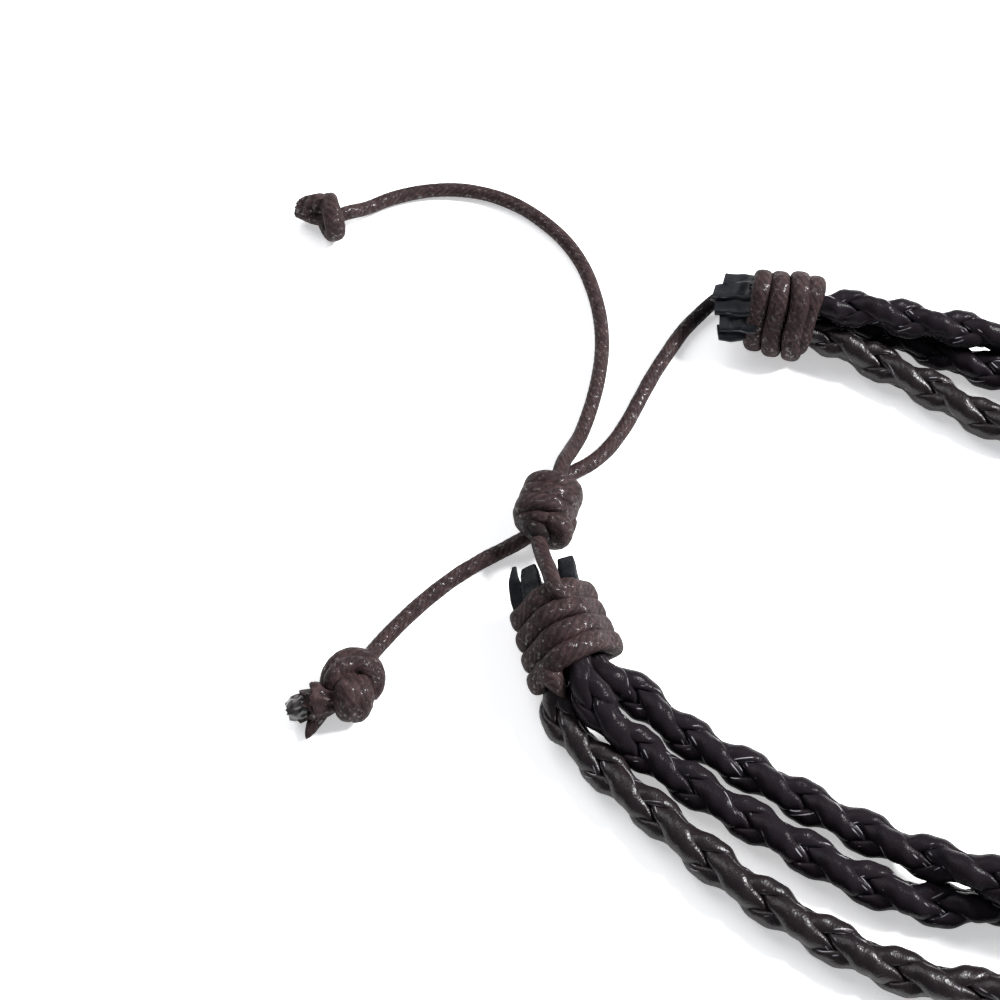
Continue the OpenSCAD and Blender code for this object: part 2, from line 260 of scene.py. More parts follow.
def waxedCotton():
    # twisted cotton cord drawn through wax: brown, half dull, with painted shade between the yarns, and with
    # small bright spots of wax
    c = cotton
    material, add = newMaterial("waxed_cotton_cord")
    place = add("TexCoord", output="Object")
    yarn = add("Attribute", {"attribute_name": "yarn"}, "Fac")
    cloudy = add("TexNoise", {"Vector": place, "Scale": 1 / (c["patchSize"] * mm), "Detail": 4.0,
                              "Roughness": 0.65})
    patches = add("MapRange", {"Value": cloudy, "From Min": 0.3, "From Max": 0.7})
    tone = add("Mix", {"data_type": "RGBA", 0: patches, 6: linear(c["dark"]), 7: linear(c["light"])}, 2)
    # painted shade: the colour goes to the dark tone in the grooves between the yarns and where a piece is
    # darkened
    grooveShaded = add("Mix", {"data_type": "RGBA", 0: yarn, 6: linear(c["shadeAndFibreDark"]), 7: tone}, 2)
    # single fibres wind round the cord; they are thinner in truth, and this coarse so that they show
    uv = add("UVMap", {"uv_map": "along"})
    wayAlong, wayRound = [add("SeparateXYZ", {"Vector": uv}, axis) for axis in "XY"]
    lean = add("Math", {"operation": "MULTIPLY", 0: wayAlong, 1: c["fibreLean"] / c["fibreWidth"]})
    fibresRound = math.pi * waxed["diameter"] / c["fibreWidth"]
    acrossFibres = add("Math", {"operation": "MULTIPLY_ADD", 0: wayRound, 1: fibresRound, 2: lean})
    alongFibres = add("Math", {"operation": "MULTIPLY", 0: wayAlong, 1: 1 / c["fibreLength"]})
    fibrePlace = add("CombineXYZ", {"X": acrossFibres, "Y": alongFibres})
    fibre = add("TexNoise", {"Scale": 1.0, "Detail": 3.0, "Roughness": 0.65, "Distortion": 1.6,
                             "Vector": fibrePlace})
    fibreTone = add("MapRange", {"Value": fibre, "From Min": 0.36, "From Max": 0.6, "To Min": 0.3})
    lined = add("Mix", {"data_type": "RGBA", 0: fibreTone, 6: linear(c["shadeAndFibreDark"]), 7: grooveShaded}, 2)
    wax = add("TexNoise", {"Vector": place, "Scale": 1 / (c["waxSize"] * mm), "Detail": 2.0})
    height = add("Math", {"operation": "MULTIPLY_ADD", 0: fibre, 1: 0.8, 2: wax})
    bump = add("Bump", {"Strength": 0.8, "Distance": c["bumpDepth"] * mm, "Height": height})
    # the wax shines where it faces the eye, and not along the outline
    spots = add("MapRange", {"Value": wax, "From Min": 0.57, "From Max": 0.65})
    aside = add("LayerWeight", {"Blend": 0.5}, "Facing")
    facing = add("MapRange", {"Value": aside, "From Min": 0.3, "From Max": 0.75,
                              "To Min": 1.0, "To Max": 0.0})
    shine = add("Math", {"operation": "MULTIPLY", 0: spots, 1: facing})
    shader = add("BsdfPrincipled", {
        "IOR": 1.45, "Specular IOR Level": 0.12, "Roughness": c["roughness"], "Base Color": lined,
        "Coat Weight": shine, "Coat Roughness": c["waxRoughness"], "Coat IOR": 1.5,
        "Normal": bump, "Coat Normal": bump})
    add("OutputMaterial", {"Surface": shader})
    return material


scorched = dict(soot="#121112", ash="#3e3a3b", roughness=0.22, patchSize=0.5, bumpDepth=0.06)


def scorchedEnd():
    # cotton and wax burnt shut with a flame: black and ashy grey, hard and shiny where it has melted
    material, add = newMaterial("scorched_wax_end")
    place = add("TexCoord", output="Object")
    patches = add("TexNoise", {"Vector": place, "Scale": 1 / (scorched["patchSize"] * mm), "Detail": 4.0})
    ashy = add("MapRange", {"Value": patches, "From Min": 0.35, "From Max": 0.65})
    tone = add("Mix", {"data_type": "RGBA", 0: ashy, 6: linear(scorched["soot"]),
                       7: linear(scorched["ash"])}, 2)
    bump = add("Bump", {"Strength": 0.6, "Distance": scorched["bumpDepth"] * mm, "Height": patches})
    shader = add("BsdfPrincipled", {"IOR": 1.5, "Roughness": scorched["roughness"], "Base Color": tone,
                                    "Normal": bump})
    add("OutputMaterial", {"Surface": shader})
    return material


leatherLook = glossyLeather("polished_dark_leather", leather)
rubbedLook = glossyLeather("rubbed_dark_leather", rubbedLeather)
shadedCutLook = glossyLeather("dull_cut_leather_in_painted_shade", shadedCutLeather)
cottonLook = waxedCotton()
scorchedLook = scorchedEnd()


# camera, light and floor
cameraView = dict(
    place=(-17.04, -69.25, 125.15),   # mm
    look=(-0.171, 0.470, -0.866),
    lens=53.86,
)
light = dict(
    skyStrength=0.22, skyColour="#eef4ff",
    windowPower=7.0, windowPlace=(280, 220, 370), windowSize=(170, 110),
    sidePower=1.0, sidePlace=(-250, 120, 330), sideSize=(300, 300),
    floorGlow=0.45, floorReach=2.0,   # reach in m
)
cameraData = bpy.data.cameras.new("camera")
cameraData.lens = cameraView["lens"]
cameraData.sensor_width = 36
cameraData.clip_start = 0.005
camera = bpy.data.objects.new("camera", cameraData)
camera.location = Vector(cameraView["place"]) * mm
camera.rotation_euler = Vector(cameraView["look"]).to_track_quat("-Z", "Y").to_euler()
bpy.context.collection.objects.link(camera)
bpy.context.scene.camera = camera


def areaLight(name, power, place, size):
    data = bpy.data.lights.new(name, "AREA")
    data.shape = "RECTANGLE"
    data.size, data.size_y = size[0] * mm, size[1] * mm
    data.energy = power
    lamp = bpy.data.objects.new(name, data)
    lamp.location = Vector(place) * mm
    lamp.rotation_euler = (-lamp.location).to_track_quat("-Z", "Y").to_euler()
    bpy.context.collection.objects.link(lamp)


areaLight("window", light["windowPower"], light["windowPlace"], light["windowSize"])
areaLight("side", light["sidePower"], light["sidePlace"], light["sideSize"])
world = bpy.data.worlds.new("sky")
world.use_nodes = True
world.node_tree.nodes["Background"].inputs["Color"].default_value = linear(light["skyColour"])
world.node_tree.nodes["Background"].inputs["Strength"].default_value = light["skyStrength"]
bpy.context.scene.world = world
bpy.context.scene.view_settings.view_transform = "Standard"

reach = light["floorReach"]
floorMesh = bpy.data.meshes.new("floor")
floorCorners = [(-reach, -reach, 0), (reach, -reach, 0), (reach, reach, 0), (-reach, reach, 0)]
floorMesh.from_pydata(floorCorners, [], [(0, 1, 2, 3)])
floor = bpy.data.objects.new("floor", floorMesh)
bpy.context.collection.objects.link(floor)
paper, add = newMaterial("white_paper")
add("OutputMaterial", {"Surface": add("BsdfPrincipled", {
    "Base Color": linear("#fbfbfb"), "Roughness": 0.9,
    "Emission Color": linear("#ffffff"), "Emission Strength": light["floorGlow"]})})
floorMesh.materials.append(paper)
print("camera, light and floor are set")


# waxed cords
def yarnRelief(s, angle, seed):
    # ridges of the twisted yarns: 1 on a ridge, 0 in a groove, for each ring and point round
    turn = angle[None, :] + cotton["twist"] * s[:, None] + wobble(s, seed, 9, 0.12)[:, None]
    return np.abs(np.cos(cotton["yarns"] / 2 * turn)) ** 0.6


def cordRings(middle, left, upward, s, wide, thick, seed, pressed=1.0):
    # pressed: below 1 the cord is squarer, as where turns lie tight side by side
    a = np.arange(fineness["cordPoints"]) * 2 * math.pi / fineness["cordPoints"]
    cosA, sinA = [np.sign(v) * np.abs(v) ** pressed for v in (np.cos(a), np.sin(a))]
    relief = yarnRelief(s, a, seed)
    grooves = (1 - relief) * cotton["yarnDepth"] / (waxed["diameter"] / 2)
    grow = 1 + wobble(s, seed + 9, 4, 0.012)[:, None] - grooves
    wide = np.broadcast_to(np.asarray(wide, float), s.shape)[:, None]
    thick = np.broadcast_to(np.asarray(thick, float), s.shape)[:, None]
    sideways = (grow * wide / 2 * cosA)[..., None] * left[:, None]
    return middle[:, None] + sideways + (grow * thick / 2 * sinA)[..., None] * upward[:, None], relief


# sets the mask that darkens the cotton's colour: painted shade in grooves and hollows, and darkened parts of
# a cord
def markShadeAndDarkening(piece, relief):
    # the two last values are for the middles of the end faces
    values = np.concatenate([relief.ravel(), [0.3, 0.3]]).astype(np.float32)
    piece.data.attributes.new("yarn", "FLOAT", "POINT").data.foreach_set("value", values)
    return piece


def waxedCord(name, run, seed, darkened, *nodes):
    # darkened: how far from its start the cord is darkened, mm
    curve = smoothCurve(run)
    total = lengthsOf(curve)[-1]
    s = np.linspace(0, total, int(total / fineness["cordStep"]))
    middle, left, upward = framesAlong(curve, s)
    rings, relief = cordRings(middle, left, upward, s, waxed["diameter"], waxed["diameter"], seed)
    # over its first mm the cord's colour goes to the dark tone
    relief *= np.clip((s + wobble(s, seed + 5, 3, 0.5) - darkened + 1) / 2, 0, 1)[:, None]
    piece = markShadeAndDarkening(tubeMesh(name, rings, s), relief)
    finishPiece(piece, cottonLook, "waxed_cotton", *nodes)
    return piece, curve, total


nearCordRun = [
    (-34.9, -11.9, 7.2), (-35.6, -10.9, 6.6), (-36.8, -9, 5.2), (-37.8, -7.2, 4.4),
    (-38.4, -5.4, slide["high"]), (-38.4, -2.5, slide["high"]), (-38.4, 0.3, slide["high"]),
    (-38.5, 1.9, 3.8), (-38.5, 4.4, 2.2), (-38.4, 7.3, 0.9), (-38.5, 10.9, 0.8),
    (-38.9, 14.4, 0.8), (-39.7, 18, 0.8), (-41, 21.4, 0.8), (-42.8, 24.6, 0.8),
    (-45, 27.5, 0.8), (-47.7, 29.9, 0.8), (-50.7, 31.6, 0.8), (-54, 32.8, 0.8),
    (-57.5, 33.2, 0.8), (-61, 32.7, 0.8), (-64.3, 31.3, 0.8), (-67.2, 29.2, 0.8),
    (-69.2, 26.6, 1.2), (-70.4, 24.7, 2.1), (-71.6, 23.4, 2.35), (-73.2, 22.9, 2),
    (-75.8, 23.6, 1.4)]
farCordRun = [
    (-27.4, 29.4, 2.6), (-29, 28.9, 1.9), (-30.5, 27.4, 1.2), (-31.6, 25.3, 0.8),
    (-32.5, 22.9, 0.8), (-33.2, 19.8, 0.8), (-33.8, 16.5, 0.8), (-34.2, 13.2, 0.8),
    (-34.6, 9.8, 0.8), (-35.4, 6.4, 1), (-36.4, 4, 1.5), (-37.6, 2.1, 2),
    (-38.4, 0.1, slide["low"]), (-38.4, -2.5, slide["low"]), (-38.5, -4.9, slide["low"]),
    (-39.6, -6.2, 1.9), (-41, -7.4, 1.1), (-42.6, -9.1, 0.8), (-44.2, -11.3, 0.8),
    (-45.7, -13.9, 0.8), (-46.9, -16.4, 0.8), (-47.9, -18.9, 0.8), (-48.6, -21.2, 1),
    (-48.9, -23.4, 1.8), (-49.5, -25.8, 2.3), (-50.8, -27.9, 2), (-52.5, -29.5, 1.4)]
# the near cord lies on the first turn of its whipping and runs down into it: along, left, height
nearLead = [localPoint(nearWhip, *row) for row in [
    (-3.4, 3.0, 4.2), (-3.0, 2.2, 5.2), (-2.5, 1.3, 6.2), (-2.3, 0.4, 6.8), (-2.9, -0.05, 7.15)]]
nearCord, nearCurve, nearLength = waxedCord("waxed_near_cord", nearLead + nearCordRun[1:], 1, -2, "near_cord")
farCord, farCurve, farLength = waxedCord("waxed_far_cord", farCordRun, 2, 8.5, "far_cord")
print("waxed cords are", round(nearLength, 1), "and", round(farLength, 1), "mm long")


# leather strips: they follow the solids' paths and are fuller than those; mm, degrees and parts
braid = dict(
    radius=1.88,                                # of a whole cord
    stripRadius=0.9, swing=0.33,                # how far out a strip lies, and how far it swings
    lag=14.3, tilt=14.0,                        # how a strip turns aside and leans between two crossings
    width=2.4, thickness=1.3, wrapRadius=3.0,   # of a strip, and how round it is bent across
    narrow=0.12, thicken=0.3,                   # how much narrower and thicker it is between two crossings
    mouth=0.8, nearEnd=0.66, farEnd=0.76,       # size of a cord in the whippings, as a part of its free size
    openOut=1.5,                                # length in which it opens to its free size
    stubRoom=4.0, stubFlare=0.85,               # length behind a whipping, and size at its end
    nearRoll=117.0, farRoll=62.0,               # which way up the braid lies at its two ends
    nearFace=50.0, farFace=30.0,                # length from each end in which it stays that way up
    ringsPerPitch=48, pointsRound=20,           # fineness of the mesh
)
outerRun = [
    (-30.8, -21.7, 2.5), (-27.9, -23.8, 2.0), (-24, -25.8, 1.95), (-19, -27.9, 1.95),
    (-13, -30.3, 1.95), (-7, -32, 1.95), (0, -33.1, 1.95), (7.5, -32.7, 1.95),
    (15, -29.9, 1.95), (21.5, -25, 1.95), (26.5, -18.5, 1.95), (29.5, -11, 1.95),
    (30.5, -3, 1.95), (29.5, 5, 1.95), (26.4, 12, 1.95), (21.2, 17.4, 1.95),
    (15, 20.6, 1.95), (8, 21.7, 1.95), (0, 21.6, 1.95), (-8, 23.7, 1.95), (-14, 25, 2.2)]
middleRun = [
    (-27.6, -20.9, 4.3), (-23.5, -22.4, 2.5), (-17, -24.2, 1.95), (-10, -25.7, 1.95),
    (-3, -27, 1.95), (4, -26.8, 1.95), (11, -23.6, 1.95), (16.5, -18.8, 1.95),
    (20.5, -13, 1.95), (23.5, -6.5, 1.95), (25, 0.5, 1.95), (25.2, 7.5, 3.8),
    (23.8, 14.5, 5.6), (20.3, 20.3, 4.5), (15.4, 24.6, 2.1), (9, 26.9, 1.95),
    (2, 27.5, 1.95), (-5, 28, 1.95), (-11, 28.8, 1.95), (-15.5, 29, 2.1)]
innerRun = [
    (-26, -17.6, 3), (-20, -19.7, 1.95), (-13.5, -21.1, 1.95), (-6.5, -22.4, 1.95),
    (0, -23.5, 2.7), (6, -24.1, 4.7), (12, -24.4, 5.8), (18, -23.4, 5.2),
    (23.5, -20.8, 5.6), (28.5, -16, 5.9), (32, -9.5, 5.2), (33.8, -2, 2.7),
    (33.6, 6, 1.95), (31.2, 13.8, 1.95), (26.5, 20.6, 1.95), (20, 26, 1.95),
    (12.5, 29.9, 1.95), (4.5, 31.6, 1.95), (-4, 29.8, 4.7), (-10, 28.6, 5.3), (-15, 28, 5.7)]
# near and far: where a cord lies in the whippings; pitch: length of one turn of a strip; first: where the
# turns start; nearLift: how much higher it leaves the near whipping; nearEnds and farEnds: how far each
# strip stands out behind the whippings
leatherCords = {
    "outer": dict(run=outerRun, near="right", far="right", pitch=11.64, first=0.95,
                  nearEnds=(0.3, 0.9, 1.2, 0.5), farEnds=(0.8, 1.2, 0.9, 1.4)),
    "middle": dict(run=middleRun, near="top", far="left", pitch=11.1, first=1.85,
                   nearEnds=(0.3, 0.4, 0.3, 0.4), farEnds=(1.0, 1.4, 0.8, 1.2)),
    "inner": dict(run=innerRun, near="left", far="top", pitch=11.16, first=3.15, nearLift=0.9,
                  nearEnds=(0.5, 1.0, 0.7, 1.1), farEnds=(0.1, 0.0, 0.1, 0.2)),
}


def bundleSpot(place, squeeze):
    # where a cord's middle lies among the three in a whipping: left and height
    half = braid["radius"] * squeeze + waxed["gap"] / 2
    low = waxed["diameter"] + waxed["wrapFit"] + braid["radius"] * squeeze
    return {"top": (0.0, low + half * math.sqrt(3)), "left": (half, low), "right": (-half, low)}[place]


def flattened(whip, squeeze, z):
    # a whipping may be pressed lower than round
    low = bundleSpot("left", squeeze)[1]
    return low + (z - low) * whip["flat"]


def whipPoint(whip, along, place, squeeze, lift=0):
    left, z = bundleSpot(place, squeeze)
    return localPoint(whip, along, left, flattened(whip, squeeze, z) + lift)


def cordRoute(c):
    nearHalf = (nearWhip["turns"] + 1) * nearWhip["turnWidth"] / 2
    farHalf = (farWhip["turns"] + 1) * farWhip["turnWidth"] / 2
    b = braid
    return ([whipPoint(nearWhip, -nearHalf - b["stubRoom"], c["near"], b["stubFlare"]),
             whipPoint(nearWhip, -nearHalf, c["near"], b["nearEnd"]),
             whipPoint(nearWhip, 0, c["near"], (b["nearEnd"] + b["mouth"]) / 2),
             whipPoint(nearWhip, nearHalf, c["near"], b["mouth"], c.get("nearLift", 0))]
            + c["run"]
            + [whipPoint(farWhip, farHalf, c["far"], b["mouth"]),
               whipPoint(farWhip, 0, c["far"], (b["farEnd"] + b["mouth"]) / 2),
               whipPoint(farWhip, -farHalf, c["far"], b["farEnd"]),
               whipPoint(farWhip, -farHalf - b["stubRoom"], c["far"], b["stubFlare"])])


def squeezeAt(s, total):
    # how far a cord is pressed together at a length: 1 where it is free
    b = braid
    nearL = (nearWhip["turns"] + 1) * nearWhip["turnWidth"]
    farL = (farWhip["turns"] + 1) * farWhip["turnWidth"]
    near, far = s - b["stubRoom"], total - b["stubRoom"] - s
    free = between(b["mouth"], 1, ease(np.minimum(near - nearL, far - farL) / b["openOut"]))
    return np.select(
        [near < 0, far < 0, near < nearL, far < farL],
        [between(b["nearEnd"], b["stubFlare"], -near / b["stubRoom"]),
         between(b["farEnd"], b["stubFlare"], -far / b["stubRoom"]),
         between(b["nearEnd"], b["mouth"], near / nearL),
         between(b["farEnd"], b["mouth"], far / farL)], free)


def leatherStrip(name, c, number, seed):
    b = braid
    curve = smoothCurve(cordRoute(c))
    total = lengthsOf(curve)[-1]
    start = b["stubRoom"] - c["nearEnds"][number]
    end = total - b["stubRoom"] + c["farEnds"][number]
    s = np.linspace(start, end, int((end - start) / c["pitch"] * b["ringsPerPitch"]))
    middle, left, upward = framesAlong(curve, s)
    hand = 1 if number < 2 else -1
    turn = (s - c["first"]) / c["pitch"] * 2 * math.pi
    side, over = np.sin(2 * turn), hand * np.cos(2 * turn)
    roll = np.interp(s, [b["nearFace"], total - b["farFace"]], [b["nearRoll"], b["farRoll"]])
    a = hand * turn + math.pi * (number % 2) + np.radians(roll - b["lag"] * side)
    cosA, sinA = np.cos(a)[:, None], np.sin(a)[:, None]
    out, around = cosA * left + sinA * upward, cosA * upward - sinA * left
    tilt = np.radians(-b["tilt"] * side)[:, None]
    wide, thick = np.cos(tilt) * around + np.sin(tilt) * out, np.cos(tilt) * out - np.sin(tilt) * around
    k = squeezeAt(s, total)
    mid = middle + (k * (b["stripRadius"] + b["swing"] * over))[:, None] * out
    halfW = k * b["width"] / 2 * (1 - b["narrow"] * side ** 2) * (1 + wobble(s, seed, 7, 0.03))
    halfT = k * b["thickness"] / 2 * (1 + b["thicken"] * side ** 2) * (1 + wobble(s, seed + 50, 5, 0.05))
    angle = np.arange(b["pointsRound"]) * 2 * math.pi / b["pointsRound"]
    ca, sa = np.cos(angle), np.sin(angle)
    across = halfW[:, None] * ca[None]
    rise = halfT[:, None] * sa[None]
    rise = rise - across ** 2 / (2 * b["wrapRadius"] * k[:, None])
    rings = mid[:, None] + across[..., None] * wide[:, None] + rise[..., None] * thick[:, None]
    return tubeMesh(name, rings, s)


for order, (cordName, cord) in enumerate(leatherCords.items()):
    look = rubbedLook if cordName == "outer" else leatherLook
    for number in range(4):
        strip = leatherStrip(f"{cordName}_leather_{number + 1}", cord, number, 100 * order + 7 * number)
        finishPiece(strip, look, "leather", f"{cordName}_strip_{number + 1}")
print("leather strips are braided")


# whippings and knots
def coil(name, points, spot, axisZ, wide, thick, seed, *nodes):
    # a cord wound through points round a level axis; its flat side faces the axis
    curve = smoothCurve(points, steps=6)
    lengths = lengthsOf(curve)
    s = np.linspace(0, lengths[-1], int(lengths[-1] / fineness["cordStep"]))
    p = atLengths(curve, lengths, s)
    forward = unit(np.gradient(p, axis=0))
    a = math.radians(spot["heading"])
    axis = np.array([math.cos(a), math.sin(a), 0.0])
    away = p - np.array([spot["at"][0], spot["at"][1], 0.0])
    away[:, 2] -= np.interp(s, [0, lengths[-1]], axisZ)
    away -= (away @ axis)[:, None] * axis
    out = unit(away - np.sum(away * forward, 1)[:, None] * forward)
    flat = np.cross(out, forward)
    rings, relief = cordRings(p, flat, out, s, wide * (1 + wobble(s, seed + 3, 6, 0.03)),
                              thick * (1 + wobble(s, seed + 4, 5, 0.04)), seed, pressed=0.82)
    piece = markShadeAndDarkening(tubeMesh(name, rings, s), relief)
    return finishPiece(piece, cottonLook, "waxed_cotton", *nodes)


def bundleTurn(squeeze, degrees, radius):
    # where a turn round the three cords passes, for a direction away from their middle; each cord
    # carries a third of it
    part = (degrees - 30) % 360
    left, z = bundleSpot("top" if part < 120 else "right" if part < 240 else "left", squeeze)
    a = math.radians(degrees)
    return left + radius * math.cos(a), z + radius * math.sin(a)


def whipping(name, whip, endSqueeze, look, seed, *nodes):
    half = (whip["turns"] + 1) * whip["turnWidth"] / 2
    points = []
    turnSteps = fineness["turnSteps"]
    steps = int(look["turns"] * turnSteps)
    quarters = np.arange(len(look["swell"]))
    for k in range(steps + 1):
        quarter = k / (turnSteps / 4)
        degrees = look["start"] + look["hand"] * k * 360 / turnSteps
        middle = look["shift"] + (k / steps - 0.5) * look["turns"] * look["pitch"]
        squeeze = between(endSqueeze, braid["mouth"], min(1, max(0, 0.5 + middle / half / 2)))
        radius = braid["radius"] * squeeze + waxed["wrapFit"] + waxed["diameter"] / 2
        left, z = bundleTurn(squeeze, degrees, radius + np.interp(quarter, quarters, look["swell"]))
        along = middle + look["slant"] * left / 4 + np.interp(quarter, quarters, look["shifts"])
        points.append(localPoint(whip, along, left * look["narrow"], flattened(whip, squeeze, z)))
    low = bundleSpot("left", braid["mouth"])[1]
    return coil(name, points, whip, (low + 0.6, low + 0.9), look["wide"], look["thick"], seed, *nodes)


def knotCoil(name, knot, rows, seed, wide, thick, *nodes):
    # rows: along, left, height above the knot's middle
    points = [localPoint(knot, along, left, knot["z"] + z) for along, left, z in rows]
    return coil(name, points, knot, (knot["z"], knot["z"]), wide, thick, seed, *nodes)


def turnRows(radius, start, end, alongFrom, alongTo):
    # part of a turn or some turns as rows; angles in degrees from the left side over the top
    count = max(2, int(abs(end - start) / fineness["rowDegrees"]))
    rows = []
    for k in range(count + 1):
        f = k / count
        a = math.radians(between(start, end, f))
        rows.append((between(alongFrom, alongTo, f), radius[0] * math.cos(a), radius[1] * math.sin(a)))
    return rows


def carriedFrames(p):
    # side directions carried along a path without twisting, for a path that may stand upright
    forward = unit(np.gradient(p, axis=0))
    side = np.empty_like(p)
    across = np.cross(forward[0], up)
    side[0] = across / np.linalg.norm(across)
    for k in range(1, len(p)):
        v = side[k - 1] - forward[k] * (side[k - 1] @ forward[k])
        side[k] = v / np.linalg.norm(v)
    return forward, side, np.cross(forward, side)


def sizedPath(spot, rows, step):
    # rows: along, left, height and then sizes; gives even points and the sizes at them
    table = np.array(rows, float)
    curve = smoothCurve([localPoint(spot, *r[:3]) for r in table], steps=12)
    lengths = lengthsOf(curve)
    s = np.linspace(0, lengths[-1], max(8, int(lengths[-1] / step)))
    at = np.interp(s, lengths, np.linspace(0, len(rows) - 1, len(curve)))
    sizes = [np.interp(at, range(len(rows)), table[:, k]) for k in range(3, table.shape[1])]
    return atLengths(curve, lengths, s), s, sizes


def looseTurn(name, spot, rows, seed, darkened=False):
    # a bit of cord in a knot, with rounded ends; rows: along, left, height, diameter
    # darkened: painted dark all over, as shade
    rounding, darkness = 0.45, 0.15
    p, s, (size,) = sizedPath(spot, rows, fineness["cordStep"])
    _, side, out = carriedFrames(p)
    fromEnd = np.minimum(s, s[-1] - s)
    fit = np.sqrt(np.clip(1 - (1 - fromEnd / rounding) ** 2, 0.02, 1))
    size = size * np.where(fromEnd < rounding, fit, 1)
    rings, relief = cordRings(p, side, out, s, size, size * (1 + wobble(s, seed, 4, 0.04)), seed)
    # a darkened piece is painted dark all over as shade
    piece = markShadeAndDarkening(tubeMesh(name, rings, s), relief * (darkness if darkened else 1))
    return finishPiece(piece, cottonLook, "waxed_cotton")


def frayedEnd(name, spot, rows, seed, lumps, ragged, material):
    # fibres that have come apart; rows: along, left, height, width; lumps and ragged in mm
    waves, tornLength = 7, 0.9
    p, s, (size,) = sizedPath(spot, rows, fineness["frayStep"])
    forward, side, out = carriedFrames(p)
    around = fineness["frayPoints"]
    a = np.arange(around) * 2 * math.pi / around
    rng = np.random.default_rng(seed)
    rough = np.zeros((len(s), around))
    for _ in range(waves):
        lumpsRound, lean, offset = rng.integers(2, 10), rng.uniform(-4, 4), rng.uniform(0, 6.28)
        rough += np.sin(lumpsRound * a[None, :] + lean * s[:, None] + offset)
    radius = size[:, None] / 2 + rough * lumps / 3
    edge = np.convolve(np.tile(rng.uniform(-1, 1, around), 3), [0.3, 0.4, 0.3], "same")[around:2 * around]
    torn = np.clip((s - s[-1] + tornLength) / tornLength, 0, 1)[:, None] ** 2 * edge[None, :] * ragged
    across = (radius * np.cos(a))[..., None] * side[:, None]
    upright = (radius * np.sin(a))[..., None] * out[:, None]
    rings = p[:, None] + (across + upright) + torn[..., None] * forward[:, None]
    # darker all over, and darker still in the hollows between lumps as painted shade
    piece = markShadeAndDarkening(tubeMesh(name, rings, s), np.clip(0.7 + rough / 6, 0.35, 1))
    return finishPiece(piece, material, "waxed_cotton")


def cutEnd(name, spot, aslant, rows, seed):
    # the cut end of a leather strip; rows: along, left, height, width, thickness, roll in degrees
    # aslant: how far the cut runs from square, as a slope
    squareness, cupping = 0.7, 0.12
    p, s, (wide, thick, roll) = sizedPath(spot, rows, fineness["cutStep"])
    forward, side, out = carriedFrames(p)
    a = np.arange(fineness["cutPoints"]) * 2 * math.pi / fineness["cutPoints"]
    x, y = [np.sign(v) * np.abs(v) ** squareness for v in (np.cos(a), np.sin(a))]
    x = (wide * (1 + wobble(s, seed, 3, 0.05)))[:, None] / 2 * x
    y = (thick * (1 + wobble(s, seed + 1, 2, 0.1)))[:, None] / 2 * y - x ** 2 * cupping
    c, d = np.cos(np.radians(roll))[:, None], np.sin(np.radians(roll))[:, None]
    nearCut = np.clip(s - s[-1] + 1, 0, 1)[:, None]   # 0 up to 1 mm before the cut, and 1 at the cut
    p = p[:, None] + (nearCut * x * aslant)[..., None] * forward[:, None]
    rings = p + (x * c - y * d)[..., None] * side[:, None] + (x * d + y * c)[..., None] * out[:, None]
    # the cut ends are painted darker and bluer than the strips, as shade from the whippings
    return finishPiece(tubeMesh(name, rings, s), shadedCutLook, "leather")


# start: where the cord begins, degrees; hand: which way it winds; pitch: from turn to turn; slant: how far
# the turns lean; narrow: their width as a part of the round one; swell and shifts: how far a turn lies
# outward and along at each quarter turn; lengths in mm
nearWrap = dict(
    turns=4.0, hand=-1, start=-90, pitch=2.0, shift=-0.1, slant=-1.0, narrow=1.0, wide=2.05, thick=1.5,
    swell=(0, 0, -0.1, 0, 0, 0.05, 0, -0.05, 0, 0, 0.1, 0, 0, 0.05, 0.1, 0.15, -0.9),
    shifts=(0, -0.1, 0.1, 0.1, 0, 0, -0.1, 0.1, 0, 0.05, 0.1, -0.1, 0, 0.1, 0.1, -0.4, -1.8))
farWrap = dict(
    turns=4.0, hand=1, start=-90, pitch=1.8, shift=0.0, slant=0.55, narrow=0.95, wide=1.9, thick=1.5,
    swell=(0, 0, -0.15, -0.6, 0, 0.05, 0, -0.05, 0, 0.25, 0.15, 0.2, 0, -0.05, -0.15, -0.6, -0.8),
    shifts=(0, 0.25, 0.1, 0, 0, 0.1, 0, 0.2, 0.1, 0.1, 0.15, 0.45, 0.2, 0, -0.1, -0.7, -1.6))
whipping("near_whipping_cord", nearWhip, braid["nearEnd"], nearWrap, 21, "near_whipping")
whipping("far_whipping_cord", farWhip, braid["farEnd"], farWrap, 22, "far_whipping")
looseTurn("near_whipping_tail", nearWhip, [
    (2.2, -2.7, 3.4, 1.8), (3.1, -2.7, 4.6, 2.1), (4.1, -2.6, 5.2, 2.1),
    (4.9, -2.4, 5.1, 1.6), (5.6, -2.2, 4.8, 0.9), (6.1, -2.0, 4.5, 0.3)], seed=31)

